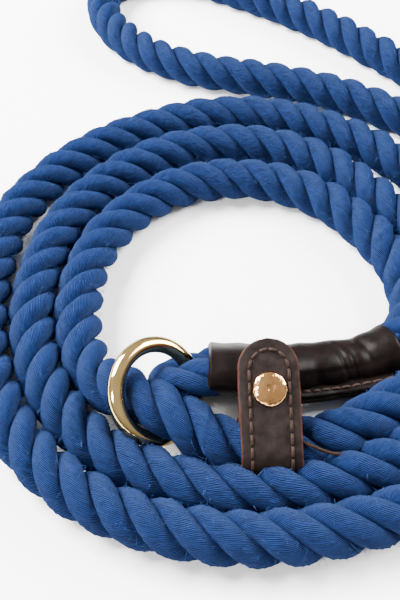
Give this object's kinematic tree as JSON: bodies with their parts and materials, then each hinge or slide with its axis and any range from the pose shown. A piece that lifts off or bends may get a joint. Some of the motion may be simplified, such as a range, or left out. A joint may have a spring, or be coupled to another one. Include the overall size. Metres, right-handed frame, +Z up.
{
  "type": "rope slip lead",
  "caption": "Rope slip lead with a brass ring, leather eye sleeve and riveted leather stopper, laid down in a loose coil with its hand loop beside it.",
  "frame": {"origin": "under the middle of the whole lead as it lies, on the surface that it lies on", "axes": "+X from the ring towards the hand loop's sleeve, +Y from the coil towards the hand loop's bend, +Z up"},
  "size_m": [0.205, 0.2633, 0.0287],
  "materials": {
    "rope": "matte",
    "sleeve_leather": "satin",
    "strap_leather": "satin",
    "strap_lining": "matte",
    "thread": "satin",
    "brass": "polished",
    "copper": "polished"
  },
  "bodies": {
    "lead": {"rope_noose_right": "rope", "rope_noose_left": "rope", "rope_run": "rope", "rope_coil_inner_top": "rope", "rope_coil_inner_bottom": "rope", "rope_coil_outer_top": "rope", "rope_coil_outer_bottom": "rope", "rope_standing": "rope", "rope_handle_inner": "rope", "rope_handle_outer": "rope", "rope_eye": "rope", "rope_eye_splice": "rope", "rope_handle_splice": "rope", "eye_sleeve": "sleeve_leather", "eye_sleeve_stitching": "thread", "handle_sleeve": "sleeve_leather", "handle_sleeve_stitching": "thread"},
    "ring": {"ring": "brass"},
    "stopper": {"stopper_outer": "strap_leather", "stopper_lining": "strap_lining", "stopper_stitching": "thread", "stopper_rivet_cap": "copper", "stopper_rivet_post": "copper", "stopper_thread_tail": "thread"}
  },
  "joints": [
    {"name": "ring_spin", "type": "hinge", "parent": "lead", "child": "ring", "pos_m": [-0.0478, -0.08524, 0.013], "axis": [0.5878, -0.4465, 0.6746], "continuous": true},
    {"name": "stopper_slide", "type": "hinge", "parent": "lead", "child": "stopper", "pos_m": [-0.0233, -0.0435, 0], "axis": [0, 0, 1], "range_deg": [0, 12]}
  ]
}
